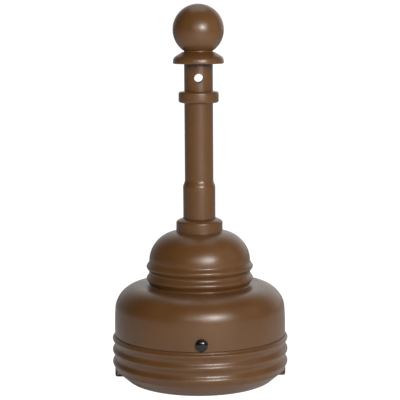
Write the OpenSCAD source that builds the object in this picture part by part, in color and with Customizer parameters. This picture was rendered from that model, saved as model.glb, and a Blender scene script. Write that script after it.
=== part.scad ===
// Free-standing smokers' bin: a hollow pole with a ball cap, a domed cover, a ribbed base
// and a galvanised pail inside. The origin is on the ground, on the axis, with +Z up and
// the locking knob on the -Y side.

/* [Overall] */
// Height from the ground to the top of the ball
total_h = 999; // [840:1:1300]
// Largest diameter, across the ribs of the base
body_d = 470; // [400:1:600]
// Wall of the moulded plastic shells
wall = 5; // [3.5:0.5:6.5]
// Gap between parts that lift off one another
seat_gap = 0.3; // [0.2:0.05:0.6]

/* [Base] */
// Height of the seam between the base and the cover
base_h = 124; // [105:1:160]
// How far the ribs of the base stand out
base_rib_out = 5.7; // [3:0.1:8]
// Height of the plain bowl under the lowest rib
bowl_h = 33; // [25:0.5:40]
// How far the ring that the base stands on is set in from its side
foot_inset = 41.3; // [38:0.1:60]
// Width of that ring
foot_ring_w = 17; // [10:1:30]
// How far the floor is raised inside the foot ring
floor_rise = 8; // [4:1:14]
// Height of the spigot that goes up inside the cover
spigot_h = 38; // [30:1:50]
// Side gap between the spigot and the cover
spigot_gap = 0.5; // [0.3:0.1:1.5]
// How far the tie-down ears stop short of the side of the base
ear_inset = 0.5; // [0:0.1:6]
// Thickness of a tie-down ear
ear_t = 36; // [20:1:60]
// Diameter of the hole in a tie-down ear
ear_hole_d = 8.4; // [6:0.1:9]
// Height of an ear above the ground
ear_rise = 7.5; // [2:0.5:10]

/* [Cover] */
// Height of the drum from the seam to its flat top
drum_h = 132; // [115:0.1:190]
// Radius of the shoulder of the drum
shoulder_r = 66; // [45:0.5:72]
// Width from the side of the drum to the dome
ledge_w = 94; // [84:0.5:115]
// Height of the dome above the drum
dome_h = 143.2; // [122:0.1:190]
// Height of the rounded crown of the dome
crown_h = 79; // [55:0.5:95]
// How far the ribs of the dome stand out
dome_rib_out = 7.6; // [4:0.1:10]
// Width of the collar round the pole
collar_w = 18.8; // [15:0.1:24]
// Height of the collar above the dome
collar_h = 35.8; // [26:0.5:60]

/* [Pole] */
// Outer diameter of the pole
pole_d = 75.2; // [62:0.1:77]
// Wall of the pole and its cap
pole_wall = 4; // [3:0.5:6]
// How far the sleeve at the foot of the pole stands out
sleeve_out = 5; // [3:0.1:9]
// Length of sleeve that shows above the collar
sleeve_h = 83; // [50:1:120]
// Length of the taper from the sleeve to the pole
flare_h = 19.5; // [12:0.5:30]
// How far the socket ring at the top of the pole stands out
ring_out = 15.3; // [11:0.1:20]
// Height of the socket ring
ring_h = 30.5; // [26:0.1:45]
// Depth of the socket in the ring
socket_depth = 26; // [18:0.5:26]
// Radial gap of the push fits at both ends of the pole
push_gap = 0.15; // [0.1:0.05:0.3]

/* [Cap] */
// Diameter of the ball
ball_d = 134.2; // [110:0.1:150]
// Diameter of the rain skirt under the ball
skirt_d = 133.6; // [120:0.1:150]
// Height of the rain skirt
skirt_h = 32; // [27:0.1:40]
// Length of neck between the socket ring and the rain skirt
neck_h = 72; // [55:0.1:110]
// Diameter of the hole through the neck
hole_d = 23.4; // [20:0.1:30]
// Height of the hole above the socket ring
hole_rise = 34.9; // [22:0.1:50]

/* [Lock] */
// Diameter of the locking knob
knob_d = 32; // [26:0.5:44]
// Depth of the locking knob
knob_t = 13; // [11:0.5:20]
// Diameter of the threaded stud
stud_d = 8; // [6:0.5:10]
// Height of the stud above the seam
stud_rise = 20; // [18:0.5:22]
// Length of the threaded insert
insert_l = 16; // [12:0.5:24]

/* [Pail] */
// How far the mouth of the pail lies below the top of the drum
pail_drop = 30.7; // [26:0.1:90]
// How much narrower the pail's bottom is than its mouth, on each side
pail_narrowing = 26; // [10:0.5:40]
// Gap between the bail and the inside of the dome
bail_gap = 5; // [3:0.1:8]
// Thickness of the pail's sheet steel
sheet = 1; // [0.7:0.1:1.5]
// Diameter of the wire in the bail
bail_wire_d = 4; // [3:0.5:5]
// Diameter of the grip on the bail
grip_d = 15; // [12:0.5:16]
// Length of the grip along the bail
grip_l = 60; // [45:1:66]
// How far the folded bail hangs below level
bail_fold = 20; // [10:1:24]

/* [Hidden] */
$fn = 96;
brown = [0.44, 0.31, 0.21];
nylon_black = [0.06, 0.06, 0.07];
zinc = [0.68, 0.70, 0.72];
brass = [0.72, 0.58, 0.30];
grip_colour = [0.12, 0.12, 0.13];

// Base
base_r = body_d / 2 - base_rib_out;
drum_r = base_r - 0.8;
foot_r = base_r - foot_inset;
spigot_r = drum_r - wall - spigot_gap;
spigot_top = base_h + spigot_h;
top_rib_drop = 9.4;
rib_power = 1.3;
rib_count = 3;
base_rib_pitch = (base_h - top_rib_drop - 0.6 - bowl_h) / (rib_count - 0.5);
rib_z = [for (i = [0:rib_count - 1]) base_h - top_rib_drop - i * base_rib_pitch];
rib_half = base_rib_pitch / 2;
ear_reach = base_r - ear_inset;
bowl_low = [foot_r + 14, 9];
floor_top = floor_rise + wall;
pail_nest_gap = 1.5;
pail_nest_h = 7;

// Cover
rim_z = base_h + seat_gap;
drum_top = base_h + drum_h;
dome_r = drum_r - ledge_w;
dome_top = drum_top + dome_h;
crown_z = dome_top - crown_h;
dome_foot_z = drum_top + 2.5;
dome_rib_pitch = (crown_z + 1.5 - dome_foot_z) / 2;
wall_lean = 4;
rim_band = 19.4;
collar_top = dome_top + collar_h;
collar_round = 7;
collar_slope = 8.5;
collar_lip = 2.5;
sleeve_r = pole_d / 2 + sleeve_out;
bore_r = sleeve_r + push_gap;
collar_r = sleeve_r + collar_w;
crown_in = collar_r - 5.9;
ledge_z = dome_top - wall;

// Pole
pole_r = pole_d / 2;
pole_bore_r = pole_r - pole_wall;
spigot_low_r = pole_r - 1.4;
lock_ring_h = 14;
lock_ring_r = crown_in - 3.5;
pole_low = ledge_z - lock_ring_h - 7;
sleeve_top = collar_top + sleeve_h;
flare_top = sleeve_top + flare_h;
ball_r = ball_d / 2;
skirt_r = skirt_d / 2;
throat_r = pole_r + 2.8;
throat_groove = 2.5;
throat_in_r = throat_r - throat_groove - pole_wall;
ball_drop = sqrt(pow(ball_r, 2) - pow(throat_r, 2));
ball_z = total_h - ball_r;
throat_z = ball_z - ball_drop - 3.3;
skirt_low = throat_z - skirt_h;
ring_top = skirt_low - neck_h;
ring_low = ring_top - ring_h;
ring_r = pole_r + ring_out;
socket_z = ring_top - socket_depth;
hole_z = ring_top + hole_rise;

// Lock
stud_z = base_h + stud_rise;
stud_r = stud_d / 2;
thread_gap = 0.05;
insert_r = stud_r + 2.6;
boss_r = insert_r + 5;
washer_t = 1.5;
washer_r = knob_d / 2 - 4;
washer_y = drum_r + seat_gap;
knob_y = washer_y + washer_t + seat_gap;
stud_in_knob = knob_t - 4;
insert_y = spigot_r - insert_l;
stud_tip_y = insert_y - 4;
slot_w = stud_d + 1.2;

// Pail
pail_z = floor_top + seat_gap;
pail_top = drum_top - pail_drop;
pail_h = pail_top - pail_z;
wire_r = bail_wire_d / 2;
bail_r = dome_r - wall - bail_gap - wire_r;
curl_r = 3.4;
grip_gap = 3.6;
curl_at = [bail_r - grip_d / 2 - grip_gap - curl_r, pail_top - curl_r];
mouth_r = curl_at[0] - 2.2;
bottom_r = mouth_r - pail_narrowing;
taper = pail_narrowing / pail_h;
rim_wire_r = curl_r - sheet - 0.1;
bead_rise = [0.34, 0.68];
bead_out = 1.6;
bead_half = 5;
pivot_z = pail_top - 22;
pivot_gap = 0.08;
ear_plate = 2;
ear_w = 32;
ear_boss_r = wire_r + 4.5;
ear_boss_x = wall_at(pivot_z) + 7.5;
rivet_r = 2.4;
rivet_gap = 0.15;
rivet_head_r = 3.6;
rivet_turn = asin((ear_boss_r + rivet_head_r + 1.5) / wall_at(pivot_z));
rivet_head_t = 1.3;
rivet_head_gap = 0.4;
grip_angle = grip_l / bail_r * 180 / PI;

// Points on an arc about c from angle a0 to a1
function arc(c, r, a0, a1, n = 10) =
    [for (i = [0:n]) let (a = a0 + (a1 - a0) * i / n) [c[0] + r * cos(a), c[1] + r * sin(a)]];

// Points up a rib: a cosine wave, raised to a power that narrows its crest, that swells by
// out between z - down and z + up
function swell(r, out, z, down, up, power = 1, n = 8) = concat(
    [for (i = [-n:-1]) [r + out * pow((1 + cos(180 * i / n)) / 2, power), z + down * i / n]],
    [for (i = [0:n]) [r + out * pow((1 + cos(180 * i / n)) / 2, power), z + up * i / n]]);

// Outer radius of the pail's plain wall at height z
function wall_at(z) = bottom_r + taper * (z - pail_z);

// Outline of the base from the bowl up to the seam, moved in by t
function base_line(t) = concat(
    [bowl_low - [t * 0.5, -t * 0.85]],
    swell(base_r - t, base_rib_out, rib_z[2], rib_z[2] - bowl_h, rib_half, rib_power),
    swell(base_r - t, base_rib_out, rib_z[1], rib_half, rib_half, rib_power),
    swell(base_r - t, base_rib_out, rib_z[0], rib_half, top_rib_drop, rib_power));

// Outline of the cover from its rim up the dome to the angle last on its crown, moved in by t
function cover_line(t, last) =
    let (a = wall_lean)
    let (lean_low = rim_z + rim_band)
    let (lean_r = (drum_top - shoulder_r - lean_low) / sin(a) + shoulder_r)
    let (c = [drum_r - lean_r * (1 - cos(a)) - shoulder_r * cos(a), drum_top - shoulder_r])
    concat(
        [[drum_r - t, rim_z]],
        arc([drum_r - lean_r, lean_low], lean_r - t, 0, a, 5),
        arc(c, shoulder_r - t, a + 4, 90, 18),
        [[dome_r + 4 - t, drum_top - t], [dome_r + 1.2 - t, drum_top + 0.6 - t * 0.5]],
        swell(dome_r - t, dome_rib_out, dome_foot_z + dome_rib_pitch / 2,
            dome_rib_pitch / 2, dome_rib_pitch / 2),
        swell(dome_r - t, dome_rib_out, dome_foot_z + dome_rib_pitch * 1.5,
            dome_rib_pitch / 2, dome_rib_pitch / 2),
        [for (i = [1:18]) let (a = last * i / 18) [crown_in + (dome_r - crown_in - t) * cos(a),
            crown_z + (crown_h - t) * sin(a)]]);

function reversed(p) = [for (i = [len(p) - 1:-1:0]) p[i]];

// A part lying along -Y instead of +Z, at the height of the stud
module at_stud(y) {
    translate([0, -y, stud_z]) rotate([90, 0, 0]) children();
}

// One moulding: ribbed wall, raised floor, spigot, nest for the pail, boss and two ears
module base_pan() color(brown) difference() {
    union() {
        rotate_extrude() polygon(concat(
            [[0, floor_rise], [foot_r - foot_ring_w - 5, floor_rise],
                [foot_r - foot_ring_w, 0], [foot_r, 0]],
            [[foot_r + 7, 3]],
            base_line(0),
            [[spigot_r, base_h], [spigot_r, spigot_top - 2], [spigot_r - 1.5, spigot_top],
                [spigot_r - wall, spigot_top], [spigot_r - wall, base_h - wall]],
            reversed(base_line(wall)),
            [[foot_r + 4, floor_top], [0, floor_top]]));
        rotate_extrude() polygon([
            [bottom_r + pail_nest_gap, floor_top - 1],
            [bottom_r + pail_nest_gap + 5, floor_top - 1],
            [bottom_r + pail_nest_gap + 4, floor_top + pail_nest_h],
            [bottom_r + pail_nest_gap + 1.5, floor_top + pail_nest_h]]);
        at_stud(insert_y) cylinder(h = insert_l - 1, r = boss_r);
        for (side = [0, 180]) rotate([0, 0, side]) tie_ear();
    }
    at_stud(insert_y - 1) cylinder(h = insert_l + 2, r = insert_r);
}

// Upright ear with a round hole along Y, joined to the slope under the lowest rib
module tie_ear() difference() {
    translate([0, ear_t / 2, 0]) rotate([90, 0, 0]) linear_extrude(ear_t) polygon(concat(
        [[bowl_low[0] - 4, bowl_low[1]], [bowl_low[0] + 2, ear_rise]],
        arc([ear_reach - 6, ear_rise + 6], 6, -90, 0, 6),
        [[ear_reach, bowl_h + 2], [ear_reach - 3, bowl_h + 4]]));
    translate([ear_reach - 7.6, ear_t, ear_rise + 7.6]) rotate([90, 0, 0])
        cylinder(h = 2 * ear_t, d = ear_hole_d);
}

// Brass sleeve pressed into the boss, with a shoulder on its inner end
module threaded_insert() color(brass) at_stud(insert_y - 2) difference() {
    union() {
        cylinder(h = insert_l + 1, r = insert_r - 0.02);
        cylinder(h = 1.9, r = insert_r + 2);
    }
    translate([0, 0, -1]) cylinder(h = insert_l + 4, r = stud_r + thread_gap);
}

module knob_washer() color(zinc) at_stud(washer_y) difference() {
    cylinder(h = washer_t, r = washer_r);
    translate([0, 0, -1]) cylinder(h = washer_t + 2, r = stud_r + 0.3);
}

// Low dome with a short straight side and a blind bore for the stud
module knob() color(nylon_black) at_stud(knob_y) difference() {
    rotate_extrude() polygon(concat(
        [[0, 0], [knob_d / 2 - 1, 0], [knob_d / 2, 1], [knob_d / 2, 3]],
        [for (a = [10:10:90]) [knob_d / 2 * cos(a), 3 + (knob_t - 3) * sin(a)]]));
    translate([0, 0, -1]) cylinder(h = stud_in_knob + 1, r = stud_r + 0.01);
}

module knob_stud() color(zinc) at_stud(stud_tip_y) {
    cylinder(h = 1.5, r1 = stud_r - 1.2, r2 = stud_r);
    translate([0, 0, 1.5]) cylinder(h = knob_y + stud_in_knob - stud_tip_y - 1.6, r = stud_r);
}

// One moulding: drum, ribbed dome and collar, with an open slot in the rim for the stud
module cover() color(brown) difference() {
    rotate_extrude() polygon(concat(
        cover_line(0, acos((collar_r + 1.5 - crown_in) / (dome_r - crown_in))),
        [[collar_r, dome_top + 2]],
        arc([collar_r - collar_round, collar_top - collar_slope - collar_round / 2],
            collar_round, 0, 60, 6),
        arc([bore_r + collar_lip, collar_top - collar_lip], collar_lip, 90, 180, 4),
        [[bore_r, dome_top], [spigot_low_r + push_gap, dome_top],
            [spigot_low_r + push_gap, ledge_z], [bore_r + wall, ledge_z],
            [bore_r + wall, collar_top - 2 * wall], [crown_in - 4, collar_top - 2 * wall]],
        [[crown_in, collar_top - 3 * wall]],
        reversed(cover_line(wall, 90))));
    translate([-slot_w / 2, -drum_r - wall, rim_z - 1]) cube([slot_w, 3 * wall, stud_z - rim_z + 1]);
    at_stud(drum_r - 2 * wall) cylinder(h = 3 * wall, d = slot_w);
}

// Hollow pole: threaded foot, sleeve, taper, plain tube and socket ring
module pole() color(brown) rotate_extrude() polygon(concat(
    [[pole_bore_r, pole_low], [spigot_low_r, pole_low], [spigot_low_r, dome_top],
        [sleeve_r, dome_top], [sleeve_r, sleeve_top]],
    [for (i = [1:6]) [pole_r + 0.4 + (sleeve_r - pole_r - 0.4) * (1 + cos(30 * i)) / 2,
        sleeve_top + flare_h * i / 6]],
    [[pole_r, flare_top + 4], [pole_r, ring_low - 3], [pole_r + 1, ring_low - 0.8],
        [pole_r + 3, ring_low]],
    arc([ring_r - 6, ring_low + 6.8], 6, -75, 0, 5),
    arc([ring_r - 6, ring_top - 6.4], 6, 0, 75, 5),
    [[pole_r + 2, ring_top], [pole_r + push_gap, ring_top - 1.5],
        [pole_r + push_gap, socket_z], [pole_bore_r, socket_z],
        [pole_bore_r, flare_top], [sleeve_r - pole_wall, sleeve_top - 4],
        [sleeve_r - pole_wall, dome_top + 8], [pole_bore_r, dome_top + 3]]));

// Castellated ring on the pole's foot that holds the pole down on the ledge
module pole_lock_ring() color(brown) difference() {
    translate([0, 0, ledge_z - lock_ring_h - 0.1]) difference() {
        cylinder(h = lock_ring_h, r = lock_ring_r);
        translate([0, 0, -1]) cylinder(h = lock_ring_h + 2, r = spigot_low_r + 0.05);
    }
    for (i = [0:5]) rotate([0, 0, 60 * i])
        translate([lock_ring_r - 4, -6, ledge_z - lock_ring_h - 1]) cube([8, 12, lock_ring_h - 4]);
}

// One hollow moulding: neck with a hole right through, rain skirt, grooved throat and ball
module head() color(brown) difference() {
    rotate_extrude() polygon(concat(
        [[pole_bore_r, socket_z + 0.2], [pole_r, socket_z + 0.2], [pole_r, skirt_low - 3],
            [pole_r + 1, skirt_low - 0.8], [pole_r + 3, skirt_low]],
        arc([skirt_r - 3.5, skirt_low + 3.5], 3.5, -90, 0, 4),
        arc([skirt_r - 15, skirt_low + 7.5], 15, 14, 58, 5),
        [[throat_r + 2, throat_z - 1.2], [throat_r - throat_groove, throat_z - 0.6],
            [throat_r - throat_groove, throat_z + 2.4]],
        arc([0, ball_z], ball_r, -acos(throat_r / ball_r), 90, 30),
        reversed(arc([0, ball_z], ball_r - pole_wall,
            -acos(throat_in_r / (ball_r - pole_wall)), 90, 24)),
        [[throat_in_r, throat_z - 3], [skirt_r - 20, throat_z - 14],
            [skirt_r - 6, skirt_low + 10], [skirt_r - 6, skirt_low + pole_wall],
            [pole_bore_r, skirt_low + pole_wall]]));
    translate([0, skirt_r, hole_z]) rotate([90, 0, 0]) cylinder(h = 2 * skirt_r, d = hole_d);
}

// Sheet-steel wall with two pressed beads and a curled mouth
module pail_body() color(zinc) difference() {
    rotate_extrude() difference() {
        union() {
            polygon(concat(pail_line(0), reversed(pail_line(sheet))));
            translate(curl_at) circle(r = curl_r, $fn = 32);
        }
        translate(curl_at) circle(r = curl_r - sheet, $fn = 32);
    }
    rivet_places() cylinder(h = 20, r = rivet_r + rivet_gap, center = true);
}

// Outline of the pail's wall with its beads, moved in by t
function pail_line(t) = concat(
    [[wall_at(pail_z) - t, pail_z]],
    [for (k = bead_rise) each swell(wall_at(pail_z + k * pail_h) - t, bead_out,
        pail_z + k * pail_h, bead_half, bead_half, 1, 4)],
    [[wall_at(curl_at[1]) - t, curl_at[1]]]);

// Pressed disc with a turned-down edge, seamed into the foot of the wall
module pail_bottom() color(zinc) rotate_extrude() polygon([
    [0, pail_z + 6], [bottom_r - 2 * sheet, pail_z + 6], [bottom_r - 2 * sheet, pail_z + 0.5],
    [bottom_r - sheet - 0.02, pail_z + 0.5], [bottom_r - sheet - 0.02, pail_z + 6 + sheet],
    [0, pail_z + 6 + sheet]]);

module pail_rim_wire() color(zinc) rotate_extrude()
    translate(curl_at) circle(r = rim_wire_r, $fn = 32);

// Curved plate riveted to the wall, with a boss that is the bail's bearing
module pail_ear() difference() {
    union() {
        intersection() {
            rotate_extrude() polygon([
                [wall_at(pivot_z - 16) + 0.02, pivot_z - 16],
                [wall_at(pivot_z - 16) + ear_plate, pivot_z - 16],
                [wall_at(pivot_z + 14) + ear_plate, pivot_z + 14],
                [wall_at(pivot_z + 14) + 0.02, pivot_z + 14]]);
            translate([0, -ear_w / 2, pivot_z - 20]) cube([2 * mouth_r, ear_w, 40]);
        }
        translate([wall_at(pivot_z) + 1.2, 0, pivot_z]) rotate([0, 90, 0])
            cylinder(h = ear_boss_x - wall_at(pivot_z) - 1.2, r = ear_boss_r);
    }
    translate([wall_at(pivot_z) + 1.6, 0, pivot_z]) rotate([0, 90, 0])
        cylinder(h = 20, r = wire_r + pivot_gap);
    rivet_places() cylinder(h = 20, r = rivet_r + rivet_gap, center = true);
}

module pail_ear_right() color(zinc) pail_ear();

module pail_ear_left() color(zinc) rotate([0, 0, 180]) pail_ear();

// The two rivets beside each bearing, each lying along a radius of the pail
module rivet_places() {
    for (side = [0, 180]) for (turn = [-rivet_turn, rivet_turn])
        rotate([0, 0, side + turn]) translate([wall_at(pivot_z), 0, pivot_z])
            rotate([0, 90 + atan(taper), 0]) children();
}

module ear_rivets() color(zinc) rivet_places() {
    translate([0, 0, -sheet - 0.8]) cylinder(h = sheet + ear_plate + 1.6, r = rivet_r);
    translate([0, 0, ear_plate + rivet_head_gap])
        cylinder(h = rivet_head_t, r1 = rivet_head_r, r2 = rivet_head_r - 1.5);
    translate([0, 0, -sheet - rivet_head_gap - rivet_head_t])
        cylinder(h = rivet_head_t, r1 = rivet_head_r - 1.5, r2 = rivet_head_r);
}

// The bail about its pivots, folded down to the back
module on_bail() {
    translate([0, 0, pivot_z]) rotate([-bail_fold, 0, 0]) children();
}

module bail_wire() color(zinc) on_bail() {
    rotate_extrude(angle = 180) translate([bail_r, 0]) circle(r = wire_r, $fn = 32);
    for (side = [0, 180]) rotate([0, 0, side]) {
        translate([wall_at(pivot_z) + 2.2, 0, 0]) rotate([0, 90, 0])
            cylinder(h = bail_r - wall_at(pivot_z) - 2.2, r = wire_r, $fn = 32);
        translate([bail_r, 0, 0]) sphere(r = wire_r, $fn = 32);
    }
}

module bail_grip() color(grip_colour) on_bail()
    rotate([0, 0, 90 - grip_angle / 2]) rotate_extrude(angle = grip_angle)
        translate([bail_r, 0]) difference() {
            circle(d = grip_d, $fn = 48);
            circle(r = wire_r + 0.05, $fn = 48);
        }

base_pan();
threaded_insert();
knob_washer();
knob();
knob_stud();
cover();
pole();
pole_lock_ring();
head();
pail_body();
pail_bottom();
pail_rim_wire();
pail_ear_left();
pail_ear_right();
ear_rivets();
bail_wire();
bail_grip();
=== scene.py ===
from math import cos, pi, radians, sin

import bmesh
import bpy
import numpy as np
from mathutils import Matrix, Vector


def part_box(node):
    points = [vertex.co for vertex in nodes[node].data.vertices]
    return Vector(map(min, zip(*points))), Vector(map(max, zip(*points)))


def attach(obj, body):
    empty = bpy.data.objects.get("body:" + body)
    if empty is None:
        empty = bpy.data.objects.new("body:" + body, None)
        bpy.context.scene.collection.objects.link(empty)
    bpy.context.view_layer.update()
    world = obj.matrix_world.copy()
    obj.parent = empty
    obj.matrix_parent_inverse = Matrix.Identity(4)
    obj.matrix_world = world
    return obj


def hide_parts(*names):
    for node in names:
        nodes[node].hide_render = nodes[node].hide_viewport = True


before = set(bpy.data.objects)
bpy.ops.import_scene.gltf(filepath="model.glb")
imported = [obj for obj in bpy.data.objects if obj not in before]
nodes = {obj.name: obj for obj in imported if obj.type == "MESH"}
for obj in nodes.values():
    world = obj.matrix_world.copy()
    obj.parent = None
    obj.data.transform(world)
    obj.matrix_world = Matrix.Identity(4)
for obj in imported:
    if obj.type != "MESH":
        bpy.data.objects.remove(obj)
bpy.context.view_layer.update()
mm = 0.001  # profiles and sizes are in millimetres, meshes in metres
print("frame loaded:", len(nodes), "CAD nodes")


cameraSizes = {
    "azimuth": -0.9,      # degrees, seen from above
    "distance": 3.503,    # from the bin's axis, in metres
    "height": 0.950,
    "pitch": 7.6,         # degrees down
    "roll": -0.36,
    "lens": 119.7,
    "shiftX": 0.0018,
}

lightSizes = {
    # azimuth, elevation, distance, width, height, watts, colour
    "key_core": (20, 18, 2.95, 0.80, 0.46, 40, (1.0, 0.985, 0.965)),
    "key_halo": (18, 18, 3.0, 1.60, 0.90, 36, (1.0, 0.985, 0.965)),
    "left_tail": (-6, 18, 3.1, 1.40, 0.36, 9, (1.0, 0.99, 0.97)),
    "right_fill": (80, 25, 3.2, 1.4, 2.2, 4, (1.0, 0.99, 0.97)),
    "top_light": (180, 76, 3.2, 2.2, 1.8, 18, (1.0, 1.0, 1.0)),
}

worldLight = {
    # what the bin sees of the room, from each side
    "all round": 0.02,
    "behind": 1.10,
    "left share": 0.35,  # of the light behind, towards the left
    "right": 0.05,
    "shown": 1.05,       # what the camera sees behind the bin
    "floor glow": 0.16,  # what the bin sees of the floor, besides the light that falls on it
    "floor shown": 1.25,
}


def aroundBin(azimuth, elevation, distance, target):
    # A point on a sphere about the target: azimuth 0 is in front, on the -Y side
    a, e = radians(azimuth), radians(elevation)
    return Vector(target) + distance * Vector((sin(a) * cos(e), -cos(a) * cos(e), sin(e)))


def makeCamera(s):
    # Stands level with its height, then turns about Z, tips down by the pitch and rolls
    cam = bpy.data.objects.new("camera", bpy.data.cameras.new("camera"))
    bpy.context.scene.collection.objects.link(cam)
    place = aroundBin(s["azimuth"], 0, s["distance"], (0, 0, s["height"]))
    turn = (Matrix.Rotation(radians(s["azimuth"]), 4, "Z")
            @ Matrix.Rotation(radians(90 - s["pitch"]), 4, "X")
            @ Matrix.Rotation(radians(s["roll"]), 4, "Z"))
    cam.matrix_world = Matrix.Translation(place) @ turn
    cam.data.sensor_width = 36
    cam.data.lens = s["lens"]
    cam.data.shift_x = s["shiftX"]
    bpy.context.scene.camera = cam


def makeLights(lights):
    # Flat lamps round the bin, each turned towards the middle of it
    target = Vector((0, 0, 0.55))
    for name, (azimuth, elevation, distance, width, height, watts, colour) in lights.items():
        lamp = bpy.data.lights.new(name, "AREA")
        lamp.shape = "RECTANGLE"
        lamp.size, lamp.size_y = width, height
        lamp.energy, lamp.color = watts, colour
        obj = bpy.data.objects.new(name, lamp)
        bpy.context.scene.collection.objects.link(obj)
        obj.location = aroundBin(azimuth, elevation, distance, target)
        obj.rotation_euler = (target - obj.location).to_track_quat("-Z", "Y").to_euler()


makeCamera(cameraSizes)
makeLights(lightSizes)
print("camera and lights ready")


def newMaterial(name):
    # An empty material with its shader and object coordinates, ready for patterns
    material = bpy.data.materials.new(name)
    material.use_nodes = True
    tree = material.node_tree
    shader = tree.nodes["Principled BSDF"]
    coords = tree.nodes.new("ShaderNodeTexCoord").outputs["Object"]
    return material, tree, shader, coords


def mapped(tree, coords, scale, turn=(0, 0, 0)):
    # Coordinates stretched and turned before a pattern reads them
    mapping = tree.nodes.new("ShaderNodeMapping")
    mapping.inputs["Scale"].default_value = scale
    mapping.inputs["Rotation"].default_value = turn
    tree.links.new(coords, mapping.inputs["Vector"])
    return mapping.outputs["Vector"]


def noise(tree, coords, scale, detail=2.0, roughness=0.5):
    # Cloudy pattern about 0.5: the scale is its number of features in a metre
    texture = tree.nodes.new("ShaderNodeTexNoise")
    texture.inputs["Scale"].default_value = scale
    texture.inputs["Detail"].default_value = detail
    texture.inputs["Roughness"].default_value = roughness
    tree.links.new(coords, texture.inputs["Vector"])
    return texture.outputs["Fac"]


def remap(tree, value, low, high, toLow, toHigh, shape="LINEAR"):
    # Change of range, held at its ends
    node = tree.nodes.new("ShaderNodeMapRange")
    node.interpolation_type = shape
    for socket, number in zip(("From Min", "From Max", "To Min", "To Max"), (low, high, toLow, toHigh)):
        node.inputs[socket].default_value = number
    tree.links.new(value, node.inputs["Value"])
    return node.outputs["Result"]


def arithmetic(tree, operation, first, second):
    # One sum on two sockets or numbers
    node = tree.nodes.new("ShaderNodeMath")
    node.operation = operation
    for socket, value in zip(node.inputs, (first, second)):
        if isinstance(value, (int, float)):
            socket.default_value = value
        else:
            tree.links.new(value, socket)
    return node.outputs["Value"]


def mixColour(tree, factor, first, second):
    # first where the factor is 0, second where it is 1
    node = tree.nodes.new("ShaderNodeMix")
    node.data_type = "RGBA"
    tree.links.new(factor, node.inputs["Factor"])
    for socket, value in ((node.inputs[6], first), (node.inputs[7], second)):
        if isinstance(value, tuple):
            socket.default_value = (*value, 1)
        else:
            tree.links.new(value, socket)
    return node.outputs[2]


def bump(tree, height, strength, distance, under=None):
    # Relief in metres from a pattern, laid over the relief under it
    node = tree.nodes.new("ShaderNodeBump")
    node.inputs["Strength"].default_value = strength
    node.inputs["Distance"].default_value = distance
    tree.links.new(height, node.inputs["Height"])
    if under is not None:
        tree.links.new(under, node.inputs["Normal"])
    return node.outputs["Normal"]


def axisDistance(tree, coords):
    # How far a point is from the Z axis: the length of (x, y, 0)
    flatten = tree.nodes.new("ShaderNodeVectorMath")
    flatten.operation = "MULTIPLY"
    flatten.inputs[1].default_value = (1, 1, 0)
    tree.links.new(coords, flatten.inputs[0])
    length = tree.nodes.new("ShaderNodeVectorMath")
    length.operation = "LENGTH"
    tree.links.new(flatten.outputs["Vector"], length.inputs[0])
    return length.outputs["Value"]


brownPlasticLook = {
    "colour": (0.113, 0.048, 0.0130),
    "paler": (0.128, 0.056, 0.0170),
    "darker": (0.099, 0.041, 0.0105),
    "rubbed": (0.235, 0.140, 0.078),
    "dust": (0.34, 0.28, 0.22),
    # the near-black of soot, also used as the colour of the painted shadow under the head's skirt
    "soot": (0.006, 0.005, 0.005),
    "roughness": (0.31, 0.37),
    "specular": 0.55,
}


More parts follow.
